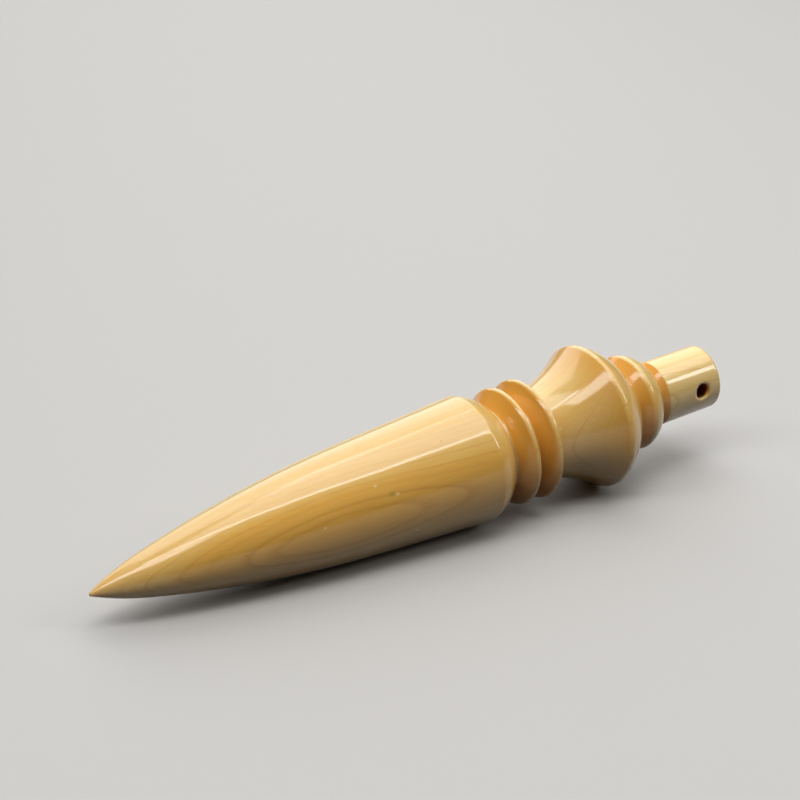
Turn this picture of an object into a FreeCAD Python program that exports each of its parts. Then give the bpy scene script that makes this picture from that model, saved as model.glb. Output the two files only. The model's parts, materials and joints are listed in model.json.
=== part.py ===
import FreeCAD, Part
import math
import os
import Sketcher
from collections import namedtuple

# A pointed bob turned in one piece from pale, close-grained wood. From its tip it runs through a
# bullet-shaped body with a rounded shoulder, two thin rings, a bell that flares to the widest
# diameter, a bead and a short stem. A cord hole is drilled across the stem near its end.
#
# All but the hole is turned about the X axis of the body below, with the tip at X = 0. Each
# stretch of the outline is a sketch of its own that is revolved about that axis, and it starts
# where the stretch before it ends. The finished bob is then laid on its side on the floor, Z = 0.

Vector = FreeCAD.Vector

# Every size that can be set by itself: millimetres, or degrees where its name ends in angle.
# Lengths run along the axis, from the tip towards the stem.
SIZES = {
    "tip_flat_diameter": (0.45, "tiny flat that the turning tool leaves at the tip"),
    "tip_round": (0.2, "softening of the edge of that flat"),
    "nose_length": (8.42, "tighter arc behind the tip"),
    "nose_radius": (44.5, "radius of that arc"),
    "ogive_length": (35.6, "long arc that carries the nose on"),
    "taper_length": (20.1, "straight taper from the long arc to the shoulder's edge"),
    "taper_angle": (3.63, "between the taper and the axis"),
    "body_diameter": (20.08, "at the shoulder's edge"),
    "shoulder_edge_round": (1.2, "softening of the shoulder's edge"),
    "shoulder_length": (4.33, "rounded shoulder, down to the root of the first groove"),
    "shoulder_radius": (6.63, "radius of the shoulder"),
    "ring_groove_diameter": (13.0, "roots of the grooves in front of the rings"),
    "ring_rim_width": (1.0, "rim of a ring, before it is rounded over"),
    "ring_edge_round": (0.6, "rounding of both edges of a rim, which leaves it hardly any flat"),
    "first_ring_diameter": (18.56, "ring next to the shoulder"),
    "first_ring_face_length": (2.3, "sloping face up to its rim"),
    "first_ring_back_length": (1.2, "steeper face down from its rim"),
    "second_ring_diameter": (19.0, "ring next to the bell"),
    "second_ring_face_length": (1.65, "sloping face up to its rim"),
    "second_ring_back_length": (0.9, "steeper face down from its rim"),
    "neck_diameter": (13.6, "where the bell starts, behind the second ring"),
    "flare_length": (10.5, "from the neck to the bell's edge"),
    "flare_radius": (29.0, "radius of the flare's hollow"),
    "bell_diameter": (23.36, "at the bell's edge, before it is rounded"),
    "bell_edge_round": (1.0, "rounding of the bell's edge"),
    "dome_length": (4.67, "dome behind the bell's edge"),
    "dome_radius": (12.5, "radius of the dome"),
    "dome_end_diameter": (15.96, "thin edge where the dome ends"),
    "dome_back_length": (0.93, "sloping face down from that edge"),
    "bead_groove_diameter": (11.8, "root of the groove in front of the bead"),
    "bead_face_length": (1.6, "sloping face up to the bead"),
    "bead_diameter": (15.58, "at the bead's edge, before it is rounded"),
    "bead_edge_round": (1.2, "rounding of the bead's edge"),
    "bead_length": (3.72, "domed side of the bead"),
    "bead_radius": (4.6, "radius of that side"),
    "bead_end_diameter": (10.96, "where the domed side ends"),
    "bead_back_length": (0.53, "sloping face down from there"),
    "stem_groove_diameter": (8.3, "root of the groove in front of the stem"),
    "stem_face_length": (1.05, "sloping face up to the stem"),
    "stem_length": (10.5, "stem, from that face to its end"),
    "stem_diameter": (10.4, "where the stem starts"),
    "stem_end_diameter": (10.3, "where the stem ends"),
    "stem_end_round": (0.5, "softening of the stem's end"),
    "hole_diameter": (2.5, "cord hole across the stem"),
    "hole_to_end": (3.74, "from the middle of the cord hole to the stem's end"),
    "hole_mouth_round": (0.3, "softening of the cord hole's two mouths"),
    "thin_edge_round": (0.12, "softening of the edges where the dome and bead end and the stem starts"),
    "hole_rise_angle": (2.84, "how far the cord hole is off level when the bob lies on the floor"),
}

doc = FreeCAD.newDocument("turned_bob")
sheet = doc.addObject("Spreadsheet::Sheet", "sizes")
for row, (alias, (value, note)) in enumerate(SIZES.items(), start=1):
    sheet.set(f"A{row}", note)
    sheet.set(f"B{row}", str(value))
    sheet.setAlias(f"B{row}", alias)
doc.recompute()


def size(alias):
    """The number that the sheet holds."""
    return float(sheet.get(alias))


def build(feature):
    """Recomputes the document and stops the build, by name, at a feature that failed."""
    doc.recompute()
    if "Invalid" in feature.State or "Error" in feature.State:
        raise RuntimeError(f"{feature.Name} failed: {feature.State}")
    return feature


body = doc.addObject("PartDesign::Body", "turned_bob")
body.Label = "turned_bob"


def side_view_sketch(name, start):
    """A sketch in the plane of the outline. Its origin is on the axis, start away from the tip."""
    sketch = body.newObject("Sketcher::SketchObject", name)
    for plane in body.Origin.OriginFeatures:
        if plane.Role == "XZ_Plane":
            sketch.AttachmentSupport = [(plane, "")]
    sketch.MapMode = "FlatFace"
    sketch.setExpression("AttachmentOffset.Base.x", start)
    return build(sketch)


def dimension(sketch, kind, where, number, expression):
    """Adds a dimension to a sketch and ties it to the sheet."""
    index = sketch.addConstraint(Sketcher.Constraint(kind, *where, number))
    sketch.setExpression(f"Constraints[{index}]", expression)


# One side of an outline: it runs step further along the axis, to a diameter. Its curve is straight,
# bulging or hollow, and an arc has a radius. A smooth side runs on into the next one without a
# corner, and such a tangent settles what is left open: its far diameter, or its radius.
Side = namedtuple("Side", "step diameter curve radius smooth", defaults=("straight", None, False))


def arc_between(near, far, radius, hollow):
    """An arc from near to far, above the chord between them, or below it if it is hollow."""
    chord = far - near
    above = Vector(-chord.y, chord.x, 0).normalize()
    depth = math.sqrt(radius**2 - (chord.Length / 2) ** 2)
    centre = (near + far) * 0.5 + above * (depth if hollow else -depth)
    angles = [math.atan2(point.y - centre.y, point.x - centre.x) for point in (near, far)]
    if not hollow:
        angles.reverse()
    return Part.ArcOfCircle(Part.Circle(centre, Vector(0, 0, 1), radius), *angles)


class Stretch:
    """One stretch of the outline, closed along the axis and revolved about it.

    In its sketch, edge 0 goes out from the axis to the start diameter, the next edges are the
    sides, then one goes back to the axis and the last closes the outline along it."""

    def __init__(self, name, start_diameter, sides, after=None):
        self.name = name
        self.start_diameter = start_diameter
        self.sides = sides
        self.sketch = side_view_sketch(name + "_outline", after.end if after else "0 mm")
        steps = " + ".join(f"sizes.{side.step}" for side in sides)
        self.end = f"{self.sketch.Name}.AttachmentOffset.Base.x + ({steps}) * 1 mm"

    def ends(self, edge):
        """The sketch's numbers for an edge's near and far end. A bulging arc runs backwards."""
        if 1 <= edge <= len(self.sides) and self.sides[edge - 1].curve == "bulging":
            return 2, 1
        return 1, 2

    def corners(self):
        """Where the corners lie, from the sheet, in the sketch's own coordinates."""
        places = [Vector(0, size(self.start_diameter) / 2, 0)]
        for side in self.sides:
            places.append(Vector(places[-1].x + size(side.step), size(side.diameter) / 2, 0))
        return places

    def draw(self, corners, open_radius=None):
        """Adds the edges through the corners and joins them end to end."""
        closed = [Vector(), *corners, Vector(corners[-1].x, 0, 0), Vector()]
        back = len(corners)
        for edge, (near, far) in enumerate(zip(closed, closed[1:])):
            side = self.sides[edge - 1] if 1 <= edge < back else None
            if side is None or side.curve == "straight":
                self.sketch.addGeometry(Part.LineSegment(near, far), False)
            else:
                radius = size(side.radius) if side.radius else open_radius
                arc = arc_between(near, far, radius, side.curve == "hollow")
                self.sketch.addGeometry(arc, False)
        for edge in range(back + 1):
            smooth = 1 <= edge < back and self.sides[edge - 1].smooth
            joined = (edge, self.ends(edge)[1], edge + 1, self.ends(edge + 1)[0])
            self.constrain("Tangent" if smooth else "Coincident", *joined)
        self.constrain("Coincident", 0, 1, -1, 1)
        self.constrain("Coincident", back + 1, 2, -1, 1)
        self.constrain("Horizontal", back + 1)
        self.constrain("Vertical", 0)
        self.constrain("Vertical", back)

    def constrain(self, kind, *where):
        """Adds a constraint that has no size."""
        self.sketch.addConstraint(Sketcher.Constraint(kind, *where))

    def tie_diameter(self, edge, diameter):
        """Holds the far end of an edge at a diameter."""
        where = (-1, 1, edge, self.ends(edge)[1])
        dimension(self.sketch, "DistanceY", where, size(diameter) / 2, f"sizes.{diameter} / 2")

    def tie(self):
        """Ties the steps, diameters and radii to the sheet."""
        self.tie_diameter(0, self.start_diameter)
        for edge, side in enumerate(self.sides, start=1):
            near, far = self.ends(edge)
            step = (edge, near, edge, far)
            dimension(self.sketch, "DistanceX", step, size(side.step), f"sizes.{side.step}")
            if side.diameter:
                self.tie_diameter(edge, side.diameter)
            if side.radius:
                dimension(self.sketch, "Radius", (edge,), size(side.radius), f"sizes.{side.radius}")

    def revolve(self):
        """Turns the finished outline into a solid that joins what is there."""
        build(self.sketch)
        if not self.sketch.FullyConstrained:
            raise RuntimeError(f"{self.sketch.Name} isn't fully constrained")
        turned = body.newObject("PartDesign::Revolution", self.name)
        turned.Profile = self.sketch
        turned.ReferenceAxis = (self.sketch, ["H_Axis"])
        build(turned)

    def corner(self, number):
        """A corner's distance from the tip and from the axis, as the sketch settled it."""
        start = self.sketch.AttachmentOffset.Base.x
        place = self.sketch.getPoint(number, self.ends(number)[1])
        return start + place.x, place.y


def turn(name, start_diameter, sides, after):
    """A stretch whose corners all have diameters of their own."""
    stretch = Stretch(name, start_diameter, sides, after)
    stretch.draw(stretch.corners())
    stretch.tie()
    stretch.revolve()
    return stretch


def turn_bullet():
    """The bullet-shaped body, from its tip to the root of the first groove.

    The long arc runs on smoothly from the nose and into the taper, so its radius is settled by
    those tangents, and so are the diameters at both its ends."""
    sides = [
        Side("nose_length", None, "bulging", "nose_radius", smooth=True),
        Side("ogive_length", None, "bulging", smooth=True),
        Side("taper_length", "body_diameter"),
        Side("shoulder_length", "ring_groove_diameter", "bulging", "shoulder_radius"),
    ]
    bullet = Stretch("bullet", "tip_flat_diameter", sides)

    # The two open diameters start out near enough for the sketch's solver: the taper's start is
    # exact, and the nose's end is where a parabola from the tip to there would put it.
    slope = math.radians(size("taper_angle"))
    tip = Vector(0, size("tip_flat_diameter") / 2, 0)
    nose_end = Vector(size("nose_length"), 0, 0)
    taper_start = Vector(nose_end.x + size("ogive_length"), 0, 0)
    taper_start.y = size("body_diameter") / 2 - size("taper_length") * math.tan(slope)
    nose_end.y = taper_start.y * math.sqrt(nose_end.x / taper_start.x)
    edge = Vector(taper_start.x + size("taper_length"), size("body_diameter") / 2, 0)
    root = Vector(edge.x + size("shoulder_length"), size("ring_groove_diameter") / 2, 0)
    chord = taper_start - nose_end
    turn_to_taper = math.atan2(chord.y, chord.x) - slope
    open_radius = chord.Length / 2 / math.sin(turn_to_taper)
    bullet.draw([tip, nose_end, taper_start, edge, root], open_radius)
    bullet.tie()
    taper = 3
    dimension(bullet.sketch, "Angle", (taper,), slope, "sizes.taper_angle * 1 deg")
    bullet.revolve()
    return bullet


def turn_ring(name, after, end_diameter):
    """A thin ring: a narrow rim between a sloping face and a steeper back."""
    sides = [
        Side(f"{name}_face_length", f"{name}_diameter"),
        Side("ring_rim_width", f"{name}_diameter"),
        Side(f"{name}_back_length", end_diameter),
    ]
    return turn(name, "ring_groove_diameter", sides, after)


def turn_bell(after):
    """The flare up to the bell's edge, and the dome behind it, which ends in a thin edge."""
    sides = [
        Side("flare_length", "bell_diameter", "hollow", "flare_radius"),
        Side("dome_length", "dome_end_diameter", "bulging", "dome_radius"),
        Side("dome_back_length", "bead_groove_diameter"),
    ]
    return turn("bell", "neck_diameter", sides, after)


def turn_bead(after):
    """The bead, from the groove behind the dome to the groove in front of the stem."""
    sides = [
        Side("bead_face_length", "bead_diameter"),
        Side("bead_length", "bead_end_diameter", "bulging", "bead_radius"),
        Side("bead_back_length", "stem_groove_diameter"),
    ]
    return turn("bead", "bead_groove_diameter", sides, after)


def turn_stem(after):
    """The short stem, which tapers a little towards its flat end."""
    sides = [
        Side("stem_face_length", "stem_diameter"),
        Side("stem_length", "stem_end_diameter"),
    ]
    return turn("stem", "stem_groove_diameter", sides, after)


def soften(name, corners, radius):
    """Rounds the edges that the turning left at some corners of the outline."""
    near = 1e-4
    before = body.Tip
    chosen = []
    for number, edge in enumerate(before.Shape.Edges, start=1):
        if not isinstance(edge.Curve, Part.Circle):
            continue
        x, reach = edge.Curve.Center.x, edge.Curve.Radius
        if any(abs(x - along) < near and abs(reach - out) < near for along, out in corners):
            chosen.append(f"Edge{number}")
    if len(chosen) != len(corners):
        raise RuntimeError(f"{name} found {len(chosen)} edges for {len(corners)} corners")
    rounding = body.newObject("PartDesign::Fillet", name)
    rounding.Base = (before, chosen)
    rounding.setExpression("Radius", f"sizes.{radius}")
    return build(rounding)


def drill_cord_hole(stem):
    """The hole across the stem, square to the plane of the outline, with softened mouths."""
    sketch = side_view_sketch("cord_hole_outline", f"{stem.end} - sizes.hole_to_end * 1 mm")
    sketch.addGeometry(Part.Circle(Vector(), Vector(0, 0, 1), size("hole_diameter") / 2), False)
    sketch.addConstraint(Sketcher.Constraint("Coincident", 0, 3, -1, 1))
    dimension(sketch, "Diameter", (0,), size("hole_diameter"), "sizes.hole_diameter")
    volume = body.Tip.Shape.Volume
    hole = body.newObject("PartDesign::Pocket", "cord_hole")
    hole.Profile = sketch
    hole.Type = "ThroughAll"
    hole.SideType = "Symmetric"
    build(hole)
    if hole.Shape.Volume >= volume:
        raise RuntimeError("the cord hole cuts nothing")
    mouths = set()
    for face in hole.Shape.Faces:
        if isinstance(face.Surface, Part.Cylinder):
            mouths |= {edge.hashCode() for edge in face.Edges if not isinstance(edge.Curve, Part.Line)}
    chosen = []
    for number, edge in enumerate(hole.Shape.Edges, start=1):
        if edge.hashCode() in mouths:
            chosen.append(f"Edge{number}")
    rounding = body.newObject("PartDesign::Fillet", "cord_hole_mouths")
    rounding.Base = (hole, chosen)
    rounding.setExpression("Radius", "sizes.hole_mouth_round")
    return build(rounding)


def outline_points(shape):
    """Points along the edge of a lengthwise section of the bob, close enough to be a smooth line."""
    step = 0.05
    points = []
    for wire in shape.slice(Vector(0, 1, 0), 0):
        points += wire.discretize(Distance=step)
    return points


def rest_angle(points, mass_centre):
    """How far the axis leans, tip down, when the bob lies on its side, in degrees.

    The floor touches it at two points of its outline, as a straight edge laid along it would:
    the two that have the centre of mass between them."""
    touched = []
    for point in sorted(points, key=lambda point: point.x):
        while len(touched) > 1:
            last = touched[-1] - touched[-2]
            new = point - touched[-2]
            if last.x * new.z - last.z * new.x < 0:
                break
            touched.pop()
        touched.append(point)
    for front, back in zip(touched, touched[1:]):
        if front.x <= mass_centre.x < back.x:
            print(f"it lies on its outline at {front.x:.1f} and {back.x:.1f} mm from the tip")
            return math.degrees(math.atan2(back.z - front.z, back.x - front.x))
    raise RuntimeError("the bob doesn't rest on its side")


def lay_down(solid):
    """The placement that lays the bob on the floor, with its origin below the middle of its box."""
    points = outline_points(solid)
    lean = FreeCAD.Rotation(Vector(0, -1, 0), rest_angle(points, solid.CenterOfGravity))
    spin = FreeCAD.Rotation(Vector(-1, 0, 0), size("hole_rise_angle"))
    laid = [lean.multVec(point) for point in points]
    lowest = min(point.z for point in laid)
    middle = (min(point.x for point in laid) + max(point.x for point in laid)) / 2
    return FreeCAD.Placement(Vector(-middle, 0, -lowest), lean * spin)


bullet = turn_bullet()
first_ring = turn_ring("first_ring", bullet, "ring_groove_diameter")
second_ring = turn_ring("second_ring", first_ring, "neck_diameter")
bell = turn_bell(second_ring)
bead = turn_bead(bell)
stem = turn_stem(bead)

soften("tip_edge", [bullet.corner(0)], "tip_round")
soften("shoulder_edge", [bullet.corner(3)], "shoulder_edge_round")
rims = [ring.corner(number) for ring in (first_ring, second_ring) for number in (1, 2)]
soften("ring_edges", rims, "ring_edge_round")
soften("bell_edge", [bell.corner(1)], "bell_edge_round")
soften("bead_edge", [bead.corner(1)], "bead_edge_round")
soften("thin_edges", [bell.corner(2), bead.corner(2), stem.corner(1)], "thin_edge_round")
soften("stem_end", [stem.corner(2)], "stem_end_round")
drill_cord_hole(stem)

body.Placement = lay_down(body.Shape.Solids[0])
doc.recompute()

for item in doc.Objects:
    if "Invalid" in item.State or "Error" in item.State:
        raise RuntimeError(f"{item.Name} failed: {item.State}")
if body.Shape.isNull() or not body.Shape.isValid() or len(body.Shape.Solids) != 1:
    raise RuntimeError("the bob isn't one valid solid")

os.makedirs("parts", exist_ok=True)
body.Shape.exportStep(f"parts/{body.Label}.step")
print(f"{body.Label}: {body.Shape.Volume / 1000:.2f} cm3, leaning {body.Placement.Rotation.Angle}")
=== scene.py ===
# %% [markdown]
# # A turned wooden bob
#
# The real object is one piece of pale, close-grained wood, turned on a lathe, sanded, lacquered to
# a gloss and drilled across its stem for a cord. This lesson models it the way it was made: an
# outline is drawn, spun round its axis and drilled. Then it gets the wood's growth rings, its end
# grain and its lacquer, and a small studio to stand in.

import json
import math

import bmesh
import bpy
from mathutils import Matrix, Vector


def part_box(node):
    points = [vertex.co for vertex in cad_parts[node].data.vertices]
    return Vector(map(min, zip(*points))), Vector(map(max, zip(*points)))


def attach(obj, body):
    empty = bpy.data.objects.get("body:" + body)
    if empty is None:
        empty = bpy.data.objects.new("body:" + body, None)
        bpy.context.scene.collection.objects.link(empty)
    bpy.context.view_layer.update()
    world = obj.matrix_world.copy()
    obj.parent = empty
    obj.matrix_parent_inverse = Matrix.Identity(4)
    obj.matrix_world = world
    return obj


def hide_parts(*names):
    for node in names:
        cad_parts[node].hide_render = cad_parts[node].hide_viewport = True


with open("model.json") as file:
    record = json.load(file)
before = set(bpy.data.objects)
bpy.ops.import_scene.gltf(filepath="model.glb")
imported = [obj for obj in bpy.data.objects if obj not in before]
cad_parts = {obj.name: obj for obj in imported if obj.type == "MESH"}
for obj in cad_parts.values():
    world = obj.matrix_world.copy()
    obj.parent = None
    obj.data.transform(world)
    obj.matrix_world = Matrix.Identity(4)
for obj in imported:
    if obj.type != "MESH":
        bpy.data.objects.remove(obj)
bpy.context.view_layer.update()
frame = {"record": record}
MM = 0.001

# %% [markdown]
# ## The outline
#
# A lathe makes every stretch of this shape from one outline, so the outline is all that has to be
# drawn. It could be a curve object, but a chain of vertices is easier to spin later. The chain
# grows like a turtle's track: a line is an extruded vertex, and an arc is a vertex spun about the
# arc's centre. X runs along the bob from its tip, and Z is the distance out from its axis.

# %% A track of vertices that draws lines and arcs
STEP = 0.4 * MM


class Track:
    """A chain of vertices in the XZ plane that grows from its last vertex, in millimetres."""

    def __init__(self, along, out):
        self.bm = bmesh.new()
        self.last = self.bm.verts.new((along * MM, 0, out * MM))
        self.corners = []

    def line_to(self, along, out, rounding=0, step=STEP):
        """A straight side, in steps. Its far corner may be rounded later, by less than a step."""
        end = Vector((along * MM, 0, out * MM))
        side = end - self.last.co
        count = max(1, round(side.length / step))
        for number in range(count):
            grown = bmesh.ops.extrude_vert_indiv(self.bm, verts=[self.last])
            self.last = grown["verts"][0]
            bmesh.ops.translate(self.bm, verts=[self.last], vec=side / count)
        self.corners.append((self.last, rounding * MM))

    def arc_to(self, along, out, radius, rounding=0, hollow=False, step=STEP):
        """An arc that bulges away from the axis, or is hollow towards it."""
        start = self.last.co.copy()
        end = Vector((along * MM, 0, out * MM))
        chord = end - start
        radius = radius * MM
        outwards = Vector((-chord.z, 0, chord.x)).normalized()
        depth = math.sqrt(radius**2 - (chord.length / 2) ** 2)
        centre = (start + end) / 2 + outwards * (depth if hollow else -depth)
        angle = 2 * math.asin(chord.length / 2 / radius)
        count = max(3, round(radius * angle / step))
        turned = bmesh.ops.spin(
            self.bm, geom=[self.last], cent=centre, axis=(0, -1 if hollow else 1, 0),
            angle=angle, steps=count, use_merge=False, use_duplicate=False)
        self.last = turned["geom_last"][0]
        self.corners.append((self.last, rounding * MM))

    def round_corners(self, segments=8):
        """Bevels each marked corner into an arc that touches the sides on both its hands."""
        for corner, radius in self.corners:
            if radius:
                before, after = (edge.other_vert(corner).co - corner.co for edge in corner.link_edges)
                turn = math.pi - before.angle(after)
                bmesh.ops.bevel(
                    self.bm, geom=[corner], offset=radius * math.tan(turn / 2), offset_type="OFFSET",
                    segments=segments, profile=0.5, affect="VERTICES", material=-1)


# %% [markdown]
# ## From tip to stem
#
# The body is a bullet: a tight arc at the nose runs into a long arc and a straight taper, and a
# rounded shoulder drops into a groove. Two thin rings follow, then the bell with its slight hollow
# and its domed back, the bead and the stem. Each edge is softened a little, as sandpaper and
# lacquer leave it, because it is the softened edges that catch the light.
#
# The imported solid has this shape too. Its ring rims are wider and, like its bead, a little rounder,
# so the two outlines part there by up to 0.43 mm. Elsewhere they agree to within 0.1 mm.

# %% Draw the outline
# Each place is (how far along the bob, how far out from its axis), in millimetres.
TIP = (0, 0.225)
NOSE_END = (8.42, 3.2488)
OGIVE_END = (44.02, 8.765)
SHOULDER = (64.12, 10.04)
BELL_EDGE = (87.0, 11.68)
BELL_FOOT = (91.67, 7.98)
BEAD_GROOVE = (92.6, 5.9)
BEAD_EDGE = (94.7, 7.8)
BEAD_FOOT = (97.92, 5.46)
STEM_GROOVE = (98.45, 4.15)
STEM_START = (99.65, 5.2)
STEM_END = (110.0, 5.15)
RING_GROOVE = 6.5
RING_RIM = 0.6
RING_FRONT_ROUND = 0.7
RING_BACK_ROUND = 0.15
NECK = 6.8
NOSE_RADIUS = 44.5
OGIVE_RADIUS = 199.2
SHOULDER_RADIUS = 6.63
BELL_HOLLOW_RADIUS = 29.0
BELL_BACK_RADIUS = 12.5
BEAD_RADIUS = 4.9
CRISP = 0.12

# Each ring's start, the lengths of its sloping face and its steeper back, its radius, and how far
# from the axis its back ends.
RINGS = (
    (68.45, 2.15, 1.55, 9.3, RING_GROOVE),
    (72.75, 1.8, 1.15, 9.53, NECK),
)

track = Track(0, 0)
track.line_to(*TIP, rounding=0.2)
track.arc_to(*NOSE_END, NOSE_RADIUS, step=0.8 * MM)
track.arc_to(*OGIVE_END, OGIVE_RADIUS, step=1.2 * MM)
track.line_to(*SHOULDER, rounding=1.2)
track.arc_to(RINGS[0][0], RING_GROOVE, SHOULDER_RADIUS)
for start, face, back, radius, foot in RINGS:
    rim = start + face
    track.line_to(rim, radius, rounding=RING_FRONT_ROUND, step=0.6 * MM)
    track.line_to(rim + RING_RIM, radius, rounding=RING_BACK_ROUND, step=RING_RIM * MM)
    track.line_to(rim + RING_RIM + back, foot)
track.arc_to(*BELL_EDGE, BELL_HOLLOW_RADIUS, rounding=1.0, hollow=True, step=0.9 * MM)
track.arc_to(*BELL_FOOT, BELL_BACK_RADIUS, rounding=CRISP, step=0.9 * MM)
track.line_to(*BEAD_GROOVE)
track.line_to(*BEAD_EDGE, rounding=0.9, step=0.6 * MM)
track.arc_to(*BEAD_FOOT, BEAD_RADIUS, rounding=CRISP, step=0.55 * MM)
track.line_to(*STEM_GROOVE)
track.line_to(*STEM_START, rounding=CRISP)
track.line_to(*STEM_END, rounding=0.5, step=0.7 * MM)
track.line_to(STEM_END[0], 0, step=0.7 * MM)
track.round_corners()
print("the outline has", len(track.bm.verts), "vertices")

# %% [markdown]
# ## Turning the wood
#
# Spinning the chain once round the X axis gives the whole shape. The ends of the chain lie on the
# axis, so their copies fall on one point and are merged. The normals are recalculated, because a
# spin can come out inside out.

# %% Spin the outline
SPIN_STEPS = 180


def spin_round(bm, axis, steps):
    """Spins all of a wire once round an axis through the origin and closes it."""
    bmesh.ops.spin(
        bm, geom=bm.verts[:] + bm.edges[:], cent=(0, 0, 0), axis=axis, angle=math.tau,
        steps=steps, use_merge=True, use_duplicate=False)
    bmesh.ops.remove_doubles(bm, verts=bm.verts, dist=1e-7)
    bmesh.ops.recalc_face_normals(bm, faces=bm.faces)
    for face in bm.faces:
        face.smooth = True


def new_object(bm, name):
    """Turns a bmesh into an object at the origin."""
    mesh = bpy.data.meshes.new(name)
    bm.to_mesh(mesh)
    bm.free()
    piece = bpy.data.objects.new(name, mesh)
    bpy.context.collection.objects.link(piece)
    return piece


spin_round(track.bm, (1, 0, 0), SPIN_STEPS)
print("the turned blank has", len(track.bm.faces), "faces")
blank = new_object(track.bm, "bob_turned")

# %% [markdown]
# ## Drilling the cord hole
#
# The hole is cut by a second turned shape, a drill with two flared ends that leave softened mouths.
# The stem is round, so its surface falls away on both sides of the hole. The flares are bent down
# by the same amount, and the mouths come out equally soft all round. A Boolean modifier cuts the
# shape, and its result becomes the mesh.

# %% Make the drill and cut the hole
HOLE_RADIUS = 1.25
HOLE_PLACE = 106.26
MOUTH_ROUND = 0.3
STEM_RADIUS = 5.168
MOUTH_CUT = math.radians(78)
FLARE_LENGTH = 0.6
FLARE_SPREAD = 0.15
BENT_LENGTH = 0.3
PALE_LENGTH = 0.5
DRILL_STEPS = 64

flare_start = STEM_RADIUS - MOUTH_ROUND
flare_end = flare_start + MOUTH_ROUND * math.sin(MOUTH_CUT)
flare_out = HOLE_RADIUS + MOUTH_ROUND * (1 - math.cos(MOUTH_CUT))
half = Track(0, HOLE_RADIUS)
half.line_to(flare_start, HOLE_RADIUS)
half.arc_to(flare_end, flare_out, MOUTH_ROUND, hollow=True, step=0.04 * MM)
half.line_to(flare_end + FLARE_LENGTH, flare_out + FLARE_SPREAD)
half.line_to(flare_end + FLARE_LENGTH, 0)
spin_round(half.bm, (1, 0, 0), DRILL_STEPS)
whole_half = half.bm.verts[:] + half.bm.edges[:] + half.bm.faces[:]
bmesh.ops.mirror(half.bm, geom=whole_half, axis="X", merge_dist=1e-6)
bmesh.ops.recalc_face_normals(half.bm, faces=half.bm.faces)
for vertex in half.bm.verts:
    fall = STEM_RADIUS * MM - math.sqrt((STEM_RADIUS * MM) ** 2 - vertex.co.y**2)
    if abs(vertex.co.x) > (flare_start - BENT_LENGTH) * MM:
        vertex.co.x -= math.copysign(fall, vertex.co.x)

# The mouths take the lacquer, slot 0, and the wall between them is bare wood with painted shade, slot
# 1.
for face in half.bm.faces:
    in_mouth = abs(face.calc_center_median().x) > (flare_start - PALE_LENGTH) * MM
    face.material_index = 0 if in_mouth else 1

# The drill's X goes to the hole's axis, its Y out to the stem's side and its Z along the bob.
drill_place = Matrix(((0, 0, 1), (1, 0, 0), (0, 1, 0))).to_4x4()
drill_place.translation = (HOLE_PLACE * MM, 0, 0)
bmesh.ops.transform(half.bm, matrix=drill_place, verts=half.bm.verts)
print("the drill has", len(half.bm.faces), "faces")
drill = new_object(half.bm, "cord_hole_drill")

# %% [markdown]
# ## Two finishes on one piece
#
# The outside is lacquered, and the wall of the hole is bare wood, darkened with painted shade. Both
# materials are made now and filled with nodes later, so that the Boolean can give the wall of the
# hole the second one.

# %% Cut the hole and name the finishes
lacquered = bpy.data.materials.new("lacquered_wood")
drilled = bpy.data.materials.new("drilled_wood_painted_shade")
for piece in (blank, drill):
    piece.data.materials.append(lacquered)
    piece.data.materials.append(drilled)

cut = blank.modifiers.new("cord_hole", "BOOLEAN")
cut.operation = "DIFFERENCE"
cut.solver = "EXACT"
cut.object = drill
depsgraph = bpy.context.evaluated_depsgraph_get()
bob_mesh = bpy.data.meshes.new_from_object(blank.evaluated_get(depsgraph))
bob_mesh.name = "bob"
bob = bpy.data.objects.new("bob", bob_mesh)
bpy.context.collection.objects.link(bob)
for tool in (blank, drill):
    bpy.data.objects.remove(tool)
walls = sum(face.material_index == 1 for face in bob_mesh.polygons)
print("the drilled bob has", len(bob_mesh.polygons), "faces,", walls, "of them in the hole's wall")

# %% [markdown]
# ## Laying it down
#
# The bob lies on its bell and its body, so its axis leans a little, tip down, and it has rolled so
# that the near end of its hole looks slightly up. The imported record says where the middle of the
# cord hole is, and the bob is laid so that its hole falls there. The move goes into the mesh, and
# the object itself stays at the origin.

# %% Lay the bob in its place
LEAN = math.radians(3.6618)
HOLE_RISE = math.radians(2.84)

cord_hole = frame["record"]["mounts"][0]
lean = Matrix.Rotation(LEAN, 4, Vector((0, -1, 0)))
place = lean @ Matrix.Rotation(HOLE_RISE, 4, Vector((-1, 0, 0)))
hole_middle = Vector((HOLE_PLACE * MM, 0, 0))
place = Matrix.Translation(Vector(cord_hole["pos_m"]) - place @ hole_middle) @ place
bob_mesh.transform(place)
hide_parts("turned_bob")
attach(bob, "root")
low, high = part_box("turned_bob")
lowest = min(vertex.co.z for vertex in bob_mesh.vertices)
print("lowest point of the bob, in mm:", round(lowest / MM, 4), "and of the packed one:", low[2] / MM)

# %% [markdown]
# ## Helpers for shader nodes
#
# A shader tree is easier to read as a few sentences of code than as a screenful of node settings.
# These helpers add a node, set or link its inputs, and hand back the output to use next.

# %% Short names for the nodes used here
def colour(red, green, blue):
    """A colour as shown on screen, 0 to 255, as the linear values that shaders use."""
    def linear(value):
        value /= 255
        return value / 12.92 if value <= 0.04045 else ((value + 0.055) / 1.055) ** 2.4
    return linear(red), linear(green), linear(blue), 1.0


def put(tree, kind, inputs, **settings):
    """Adds a node. Inputs are values, or outputs of other nodes."""
    node = tree.nodes.new(kind)
    for name, value in settings.items():
        setattr(node, name, value)
    for key, value in inputs.items():
        if isinstance(value, bpy.types.NodeSocket):
            tree.links.new(value, node.inputs[key])
        else:
            node.inputs[key].default_value = value
    return node


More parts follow.
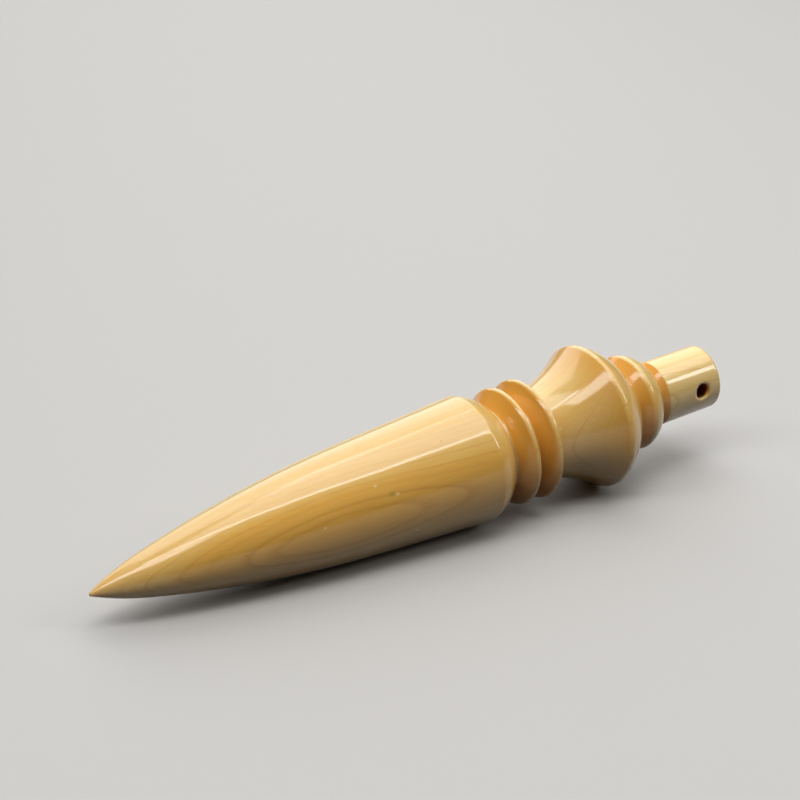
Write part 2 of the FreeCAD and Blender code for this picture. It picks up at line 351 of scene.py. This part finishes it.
def maths(tree, operation, *values):
    """One sum on numbers."""
    return put(tree, "ShaderNodeMath", dict(enumerate(values)), operation=operation).outputs[0]


def vectors(tree, operation, *values):
    """One sum on vectors. A dot product or a length comes out as a number."""
    node = put(tree, "ShaderNodeVectorMath", dict(enumerate(values)), operation=operation)
    return node.outputs["Value" if operation in ("DOT_PRODUCT", "LENGTH", "DISTANCE") else "Vector"]


def fade(tree, value, start, end, low=0.0, high=1.0):
    """Goes smoothly from low to high as the value goes from start to end."""
    inputs = {"Value": value, "From Min": start, "From Max": end, "To Min": low, "To Max": high}
    return put(tree, "ShaderNodeMapRange", inputs, interpolation_type="SMOOTHSTEP").outputs["Result"]


def blend(tree, amount, first, second, how="MIX"):
    """Mixes two colours."""
    inputs = {0: amount, 6: first, 7: second}
    return put(tree, "ShaderNodeMix", inputs, data_type="RGBA", blend_type=how).outputs[2]


def ramp(tree, value, stops):
    """A colour that changes smoothly with the value. Each stop is a value and its colour."""
    low, high = stops[0][0], stops[-1][0]
    share = maths(tree, "DIVIDE", maths(tree, "SUBTRACT", value, low), high - low)
    node = put(tree, "ShaderNodeValToRGB", {0: share})
    node.color_ramp.interpolation = "EASE"
    for at, tint in stops[1:-1]:
        node.color_ramp.elements.new((at - low) / (high - low)).color = tint
    node.color_ramp.elements[0].color = stops[0][1]
    node.color_ramp.elements[-1].color = stops[-1][1]
    return node.outputs[0]


def cloud(tree, position, scale, detail=2.0, roughness=0.5):
    """Noise from about 0 to 1, with its blotches 1 / scale apart."""
    inputs = {"Vector": position, "Scale": scale, "Detail": detail, "Roughness": roughness}
    return put(tree, "ShaderNodeTexNoise", inputs).outputs[0]


def about_zero(tree, noise, spread):
    """Noise from 0 to 1, moved to lie about zero and scaled."""
    return maths(tree, "MULTIPLY", maths(tree, "SUBTRACT", noise, 0.5), spread)


def group(name, inputs, outputs):
    """A node group with named sockets, as (its tree, its input node, its output node)."""
    tree = bpy.data.node_groups.new(name, "ShaderNodeTree")
    for label, (kind, value) in inputs.items():
        socket = tree.interface.new_socket(label, in_out="INPUT", socket_type="NodeSocket" + kind)
        if value is not None:
            socket.default_value = value
    for label, kind in outputs.items():
        tree.interface.new_socket(label, in_out="OUTPUT", socket_type="NodeSocket" + kind)
    return tree, tree.nodes.new("NodeGroupInput"), tree.nodes.new("NodeGroupOutput")


# %% [markdown]
# ## Where the wood lay in the tree
#
# The figure of turned wood is the tree's own: its growth rings are nested cylinders, and the lathe
# cuts through them. So the pattern is solid, and reads a position inside the tree. U points out
# across the rings, V lies along a ring and G runs up the trunk. The bob was cut with its drilled
# side towards the bark and its axis a few degrees off the trunk's, which is why the rings show as
# nested arches that open towards the stem.

# %% Turn object coordinates into tree coordinates
BARK_SIDE = math.radians(87)
GRAIN_SLOPE = math.radians(5.4)

bob_axis = (lean @ Vector((1, 0, 0))).normalized()
bob_top = (lean @ Vector((0, 0, 1))).normalized()
bark = bob_top * math.cos(BARK_SIDE) + Vector((0, -1, 0)) * math.sin(BARK_SIDE)
across_rings = bark * math.cos(GRAIN_SLOPE) - bob_axis * math.sin(GRAIN_SLOPE)
up_trunk = bob_axis * math.cos(GRAIN_SLOPE) + bark * math.sin(GRAIN_SLOPE)
along_ring = across_rings.cross(up_trunk)
tip = place @ Vector((0, 0, 0))
print("the bob's axis is", round(math.degrees(up_trunk.angle(bob_axis)), 2), "degrees off the trunk's")


def tree_position(tree):
    """Position in the tree in millimetres from the bob's tip, and how far a face looks up it."""
    where = tree.nodes.new("ShaderNodeTexCoord")
    from_tip = vectors(tree, "SUBTRACT", where.outputs["Object"], tuple(tip))
    in_mm = vectors(tree, "MULTIPLY", from_tip, (1 / MM,) * 3)
    ways = (across_rings, along_ring, up_trunk)
    u, v, g = (vectors(tree, "DOT_PRODUCT", in_mm, tuple(way)) for way in ways)
    return u, v, g, vectors(tree, "DOT_PRODUCT", where.outputs["Normal"], tuple(up_trunk))


def squeezed(tree, u, v, g, share):
    """The position with the trunk's length squeezed, so that a pattern is drawn out along it."""
    parts = {0: u, 1: v, 2: maths(tree, "MULTIPLY", g, share)}
    return put(tree, "ShaderNodeCombineXYZ", parts).outputs[0]


# %% [markdown]
# ## Growth rings
#
# Slow-grown wood has rings about half a millimetre apart. Each ends in a thin, darker line of late
# wood, strong in some years and hardly seen in most. The wood between changes over the years from
# cream to honey and amber, which a colour ramp across the rings gives. No ring is a true circle, so
# slow noise bends them, finer noise makes them shiver, and good and bad years change their spacing.

# %% Rings about the pith
# The tip was this far from the pith, in millimetres, and the rings are this wide.
PITH = 38.0
RING_WIDTH = 0.55
SEASON_SCALE = 0.45
SEASON_SPREAD = 1.6
# Each is the noise's scale, its detail and how far it moves a ring, in millimetres.
RING_NOISES = (
    (0.08, 2.0, 1.2),
    (0.7, 3.0, 0.12),
)
# Each is a distance beyond the tip's own ring, in millimetres, and the colour there.
YEARS_OF_COLOUR = (
    (-9.0, colour(250, 214, 142)),
    (-6.0, colour(240, 206, 138)),
    (-3.5, colour(228, 198, 128)),
    (-1.4, colour(230, 188, 106)),
    (0.2, colour(234, 194, 122)),
    (2.2, colour(237, 193, 108)),
    (3.2, colour(240, 186, 90)),
    (5.0, colour(236, 181, 84)),
)
LATE_WOOD = colour(190, 110, 38)
LINE_STRENGTH = 0.28


def ring_radius(tree, u, v, position):
    """Distance from the pith, as the bent rings count it."""
    out = maths(tree, "ADD", u, PITH)
    squares = (maths(tree, "MULTIPLY", part, part) for part in (out, v))
    radius = maths(tree, "SQRT", maths(tree, "ADD", *squares))
    for scale, detail, spread in RING_NOISES:
        moved = about_zero(tree, cloud(tree, position, scale, detail), spread)
        radius = maths(tree, "ADD", radius, moved)
    return radius


def late_wood_line(tree, radius):
    """A mask of the dark line at the end of each ring. White noise makes most of them faint."""
    seasons = {"W": radius, "Scale": SEASON_SCALE, "Detail": 2.0}
    seasons = put(tree, "ShaderNodeTexNoise", seasons, noise_dimensions="1D").outputs[0]
    seasons = maths(tree, "MULTIPLY", seasons, SEASON_SPREAD)
    years = maths(tree, "DIVIDE", maths(tree, "ADD", radius, seasons), RING_WIDTH)
    within = maths(tree, "FRACT", years)
    year = {"W": maths(tree, "FLOOR", years)}
    chance = put(tree, "ShaderNodeTexWhiteNoise", year, noise_dimensions="1D")
    strength = fade(tree, chance.outputs["Value"], 0.45, 1.0, 0.08, 1.0)
    line = maths(tree, "MULTIPLY", fade(tree, within, 0.5, 0.86), fade(tree, within, 1.0, 0.86))
    return maths(tree, "MULTIPLY", line, strength)


def colour_of_years(tree, radius, position):
    """The wood's colour between the lines, in soft patches."""
    patches = about_zero(tree, cloud(tree, position, 0.12, 3.0), 2.4)
    from_tip = maths(tree, "SUBTRACT", maths(tree, "ADD", radius, patches), PITH)
    return ramp(tree, from_tip, YEARS_OF_COLOUR)


print("the colours reach over", YEARS_OF_COLOUR[-1][0] - YEARS_OF_COLOUR[0][0], "mm of rings")

# %% [markdown]
# ## Fibres, flecks and a pin knot
#
# Fine fibres run up the trunk and shade the wood a few percent, blue most, as thin brown does. A few
# pale flecks and darker pores are strewn over it. The near side also has one pin knot, where a twig
# as thin as a pin died back, with single flecks about it. A twig grows straight out from the pith,
# so its place on a shell of the trunk needs only V and G.

# %% Fibres and small marks
FIBRE_SHADES = ((0, 0.97), (1, 0.95), (2, 0.9))
FLECK = colour(252, 236, 196)
PORE = colour(168, 108, 50)
KNOT = colour(184, 158, 60)
DRAWN_OUT = 0.6
# Each is the spacing, a shift that keeps the two sets apart, the size and the colour.
SPECKS = (
    (4.5, 0.0, 0.045, FLECK),
    (3.2, 7.0, 0.04, PORE),
)
# Each is how far along the bob it is, how many degrees round from the top, its size and its colour.
PINS = (
    (45.4, 64.4, 0.45, KNOT),
    (43.3, 52.5, 0.22, FLECK),
    (46.3, 66.0, 0.25, FLECK),
    (49.0, 111.8, 0.25, FLECK),
    (34.0, 76.8, 0.22, FLECK),
)
PIN_RADIUS = 8.8


def shade_fibres(tree, wood, fibre):
    """Darkens the wood between its fibres."""
    shades = {key: fade(tree, fibre, 0.3, 0.7, low, 1.02) for key, low in FIBRE_SHADES}
    shade = put(tree, "ShaderNodeCombineColor", shades).outputs[0]
    return blend(tree, 1.0, wood, shade, "MULTIPLY")


def strew_specks(tree, wood, position):
    """Strews flecks and pores, one to each cell of a Voronoi pattern."""
    for spacing, shift, size, tint in SPECKS:
        shifted = vectors(tree, "ADD", position, (shift,) * 3)
        cells = {"Vector": shifted, "Scale": 1 / spacing, "Randomness": 1.0}
        dots = put(tree, "ShaderNodeTexVoronoi", cells)
        near = fade(tree, dots.outputs["Distance"], size, size * 0.3)
        wood = blend(tree, maths(tree, "MULTIPLY", near, 0.7), wood, tint)
    return wood


def set_pins(tree, wood, v, g):
    """Sets the pin knot and the flecks about it, each at its own place."""
    along_shell = squeezed(tree, v, 0.0, g, DRAWN_OUT)
    for along, turned, size, tint in PINS:
        turned = math.radians(turned)
        way_out = bob_top * math.cos(turned) - Vector((0, 1, 0)) * math.sin(turned)
        pin = bob_axis * along + way_out * PIN_RADIUS
        on_shell = (pin.dot(along_ring), 0, pin.dot(up_trunk) * DRAWN_OUT)
        away = vectors(tree, "DISTANCE", along_shell, on_shell)
        wood = blend(tree, fade(tree, away, size, size * 0.3, 0, 0.6), wood, tint)
    return wood


print("single marks:", len(PINS))

# %% [markdown]
# ## End grain, and the whole wood
#
# Where the lathe has cut across the fibres, their ends drink the lacquer and turn orange. It shows
# most on faces that look down the trunk, towards the tip, which are the sides of the grooves and the
# flare of the bell. On the faces that look up it, the tool cut the fibres cleanly and little shows.
# One group holds all of the wood, because both finishes use it.

# %% The wood group
END_GRAIN = colour(228, 161, 54)


def end_grain_mask(tree, looks_up):
    """How much a face shows cut fibres, from how far it looks up the trunk, from -1 to 1."""
    towards_tip = fade(tree, looks_up, -0.2, -0.75, 0, 0.88)
    towards_stem = fade(tree, looks_up, 0.3, 1.0, 0, 0.3)
    return maths(tree, "ADD", towards_tip, towards_stem)


def wood_group():
    """The colour, the fine relief and the roughness of the wood."""
    sockets_in = {"Tint": ("Color", (1, 1, 1, 1))}
    sockets_out = {"Color": "Color", "Height": "Float", "Rough": "Float"}
    tree, start, end = group("close_grained_wood", sockets_in, sockets_out)
    u, v, g, looks_up = tree_position(tree)
    slow = squeezed(tree, u, v, g, 0.3)
    radius = ring_radius(tree, u, v, slow)
    end_grain = end_grain_mask(tree, looks_up)
    fibre = cloud(tree, squeezed(tree, u, v, g, 0.035), 4.0, 3.0, 0.6)

    line = maths(tree, "MULTIPLY", late_wood_line(tree, radius), LINE_STRENGTH)
    line = maths(tree, "MULTIPLY", line, maths(tree, "SUBTRACT", 1.0, end_grain))
    wood = blend(tree, line, colour_of_years(tree, radius, slow), LATE_WOOD)
    wood = shade_fibres(tree, wood, fibre)
    wood = strew_specks(tree, wood, squeezed(tree, u, v, g, DRAWN_OUT))
    wood = set_pins(tree, wood, v, g)
    wood = blend(tree, end_grain, wood, END_GRAIN)
    wood = blend(tree, 1.0, wood, start.outputs["Tint"], "MULTIPLY")
    relief = maths(tree, "SUBTRACT", maths(tree, "MULTIPLY", fibre, 0.6), line)

    tree.links.new(wood, end.inputs["Color"])
    tree.links.new(relief, end.inputs["Height"])
    tree.links.new(fade(tree, fibre, 0.3, 0.7, 0.34, 0.46), end.inputs["Rough"])
    return tree


wood = wood_group()
print("the wood group has", len(wood.nodes), "nodes")

# %% [markdown]
# ## Lacquer over wood
#
# A gloss lacquer is a clear skin over the wood, which is just what the coat of the Principled
# shader is: the wood below keeps its own soft shine, and the coat adds a sharp one. Light also
# sinks a little way into pale wood and comes out beside where it went in, and subsurface scattering
# gives that. The wall of the hole has no lacquer, and painted shade darkens its colour.

# %% The two finishes
LACQUER = {
    "IOR": 1.5,
    "Coat Weight": 1.0,
    "Coat Roughness": 0.11,
    "Coat IOR": 1.58,
    "Specular IOR Level": 0.1,
    "Subsurface Weight": 0.3,
    "Subsurface Radius": (1.0, 0.5, 0.2),
    "Subsurface Scale": 1.2 * MM,
}
BARE = {"Roughness": 0.8}
# The hole wall's tint is painted shade: it darkens the bare wood as the deep hole's shadow would.
HOLE_PAINTED_SHADE = colour(136, 98, 80)


def dress(material, wood_inputs, strength, depth, constants):
    """Gives a material the wood's colour and relief, and its shader's constants."""
    material.use_nodes = True
    tree = material.node_tree
    shader = tree.nodes["Principled BSDF"]
    grain = put(tree, "ShaderNodeGroup", {}, node_tree=wood)
    for name, value in wood_inputs.items():
        grain.inputs[name].default_value = value
    relief = {"Height": grain.outputs["Height"], "Strength": strength, "Distance": depth}
    relief = put(tree, "ShaderNodeBump", relief)
    tree.links.new(grain.outputs["Color"], shader.inputs["Base Color"])
    tree.links.new(relief.outputs[0], shader.inputs["Normal"])
    for name, value in constants.items():
        shader.inputs[name].default_value = value
    return tree, grain, shader


tree, grain, shader = dress(lacquered, {}, 0.12, 0.02 * MM, LACQUER)
tree.links.new(grain.outputs["Rough"], shader.inputs["Roughness"])
# The tint on the hole's wall is painted shade.
dress(drilled, {"Tint": HOLE_PAINTED_SHADE}, 0.5, 0.05 * MM, BARE)
print("finishes:", ", ".join(finish.name for finish in bob_mesh.materials))

# %% [markdown]
# ## The lamps
#
# Gloss shows the room it stands in, so the room is part of the finish. The upper half of the bob
# mirrors a broad ceiling light and a window that slopes down behind it, and turns pale. A narrow
# tube along the ceiling's near edge draws one bright streak. Two awnings on the camera's side light
# the front of the wood. They hang beyond the two ends of the bob, so that the body doesn't mirror
# them, and the right one draws the stem's own streak. A side panel lights the faces that look away
# from the tip. Every lamp is a flat sheet with two level edges, so one helper hangs them all.

# %% Lamps
SLANT = math.radians(-31)
# Heading, near edge, far edge, middle along the heading, length, radiance.
LAMPS = {
    "left awning": (SLANT, (-0.36, 0.6), (-0.16, 0.6), -0.35, 0.8, 5.4),
    "right awning": (SLANT, (-0.22, 0.6), (-0.06, 0.6), 1.0, 0.7, 8.0),
    "tube": (SLANT, (-0.13, 0.6), (-0.095, 0.6), 0.3, 0.8, 9.5),
    "ceiling": (SLANT, (-0.095, 0.6), (0.38, 0.6), 0.2, 0.55, 2.4),
    "window": (0.0, (0.24, 0.6), (0.44, 0.42), 0.2, 0.6, 1.9),
    "window foot": (0.0, (0.44, 0.42), (0.62, 0.12), 0.2, 0.6, 1.6),
    "side panel": (math.radians(-88), (0.71, 0.16), (0.62, 0.46), 0.0, 0.8, 3.0),
}


def lamp(name, heading, near, far, middle, length, radiance):
    """A flat lamp with two level edges. An edge is (how far to the left of the heading, height)."""
    ahead = Vector((math.cos(heading), math.sin(heading), 0))
    left = Vector((0, 0, 1)).cross(ahead)
    near, far = (left * out + Vector((0, 0, height)) for out, height in (near, far))
    across = far - near
    light = bpy.data.lights.new(name, "AREA")
    light.shape = "RECTANGLE"
    light.size, light.size_y = length, across.length
    light.energy = radiance * length * across.length * math.pi
    holder = bpy.data.objects.new(name, light)
    bpy.context.collection.objects.link(holder)
    across.normalize()
    turn = Matrix((ahead, across, ahead.cross(across))).transposed().to_4x4()
    holder.matrix_world = Matrix.Translation((near + far) / 2 + ahead * middle) @ turn
    return light.energy


watts = sum(lamp(name, *placing) for name, placing in LAMPS.items())
print(len(LAMPS), "lamps give", round(watts, 1), "watts")

# %% [markdown]
# ## The floor and the room
#
# The floor is plain pale paper, which is what the camera and the lacquer see. The light that it
# throws back on the wood from below is held down, so that the underside of the bob stays as dark as
# it would on a dark table. The rest of the room is dim.

# %% Floor and room
FLOOR_SIZE = 3.0
FLOOR_SEEN = colour(192, 190, 187)
FLOOR_BOUNCE = colour(40, 39, 38)
ROOM_LIGHT = 0.04

floor_bm = bmesh.new()
bmesh.ops.create_grid(floor_bm, x_segments=1, y_segments=1, size=FLOOR_SIZE)
floor = new_object(floor_bm, "floor")
paper = bpy.data.materials.new("pale_floor")
paper.use_nodes = True
paper_tree = paper.node_tree
paper_shader = paper_tree.nodes["Principled BSDF"]
rays = paper_tree.nodes.new("ShaderNodeLightPath")
seen = maths(paper_tree, "MAXIMUM", rays.outputs["Is Camera Ray"], rays.outputs["Is Glossy Ray"])
seen = maths(paper_tree, "MAXIMUM", seen, rays.outputs["Is Transmission Ray"])
shade = blend(paper_tree, seen, FLOOR_BOUNCE, FLOOR_SEEN)
paper_tree.links.new(shade, paper_shader.inputs["Base Color"])
paper_shader.inputs["Roughness"].default_value = 0.7
floor.data.materials.append(paper)

world = bpy.data.worlds.new("room")
bpy.context.scene.world = world
world.use_nodes = True
background = world.node_tree.nodes["Background"]
background.inputs["Color"].default_value = (1, 1, 1, 1)
background.inputs["Strength"].default_value = ROOM_LIGHT
print("the floor reaches", max(vertex.co.x for vertex in floor.data.vertices), "m each way")

# %% [markdown]
# ## The camera
#
# A long lens close to the table keeps the far end of the bob from shrinking too fast, and the bob
# runs away from the camera to the right.

# %% Camera
CAMERA_PLACE = (-0.17273, -0.25847, 0.16154)
CAMERA_TILT = math.radians(90 - 24.157)
CAMERA_HEADING = math.radians(-33.234)
SENSOR = 36.0
LENS = 103.5
NEAREST = 0.01

camera_data = bpy.data.cameras.new("camera")
camera_data.sensor_width = SENSOR
camera_data.lens = LENS
camera_data.clip_start = NEAREST
camera = bpy.data.objects.new("camera", camera_data)
bpy.context.collection.objects.link(camera)
camera.location = CAMERA_PLACE
camera.rotation_euler = (CAMERA_TILT, 0, CAMERA_HEADING)
bpy.context.scene.camera = camera
bpy.context.scene.view_settings.view_transform = "Standard"
print("the camera is", round((camera.location - tip).length, 3), "m from the tip")
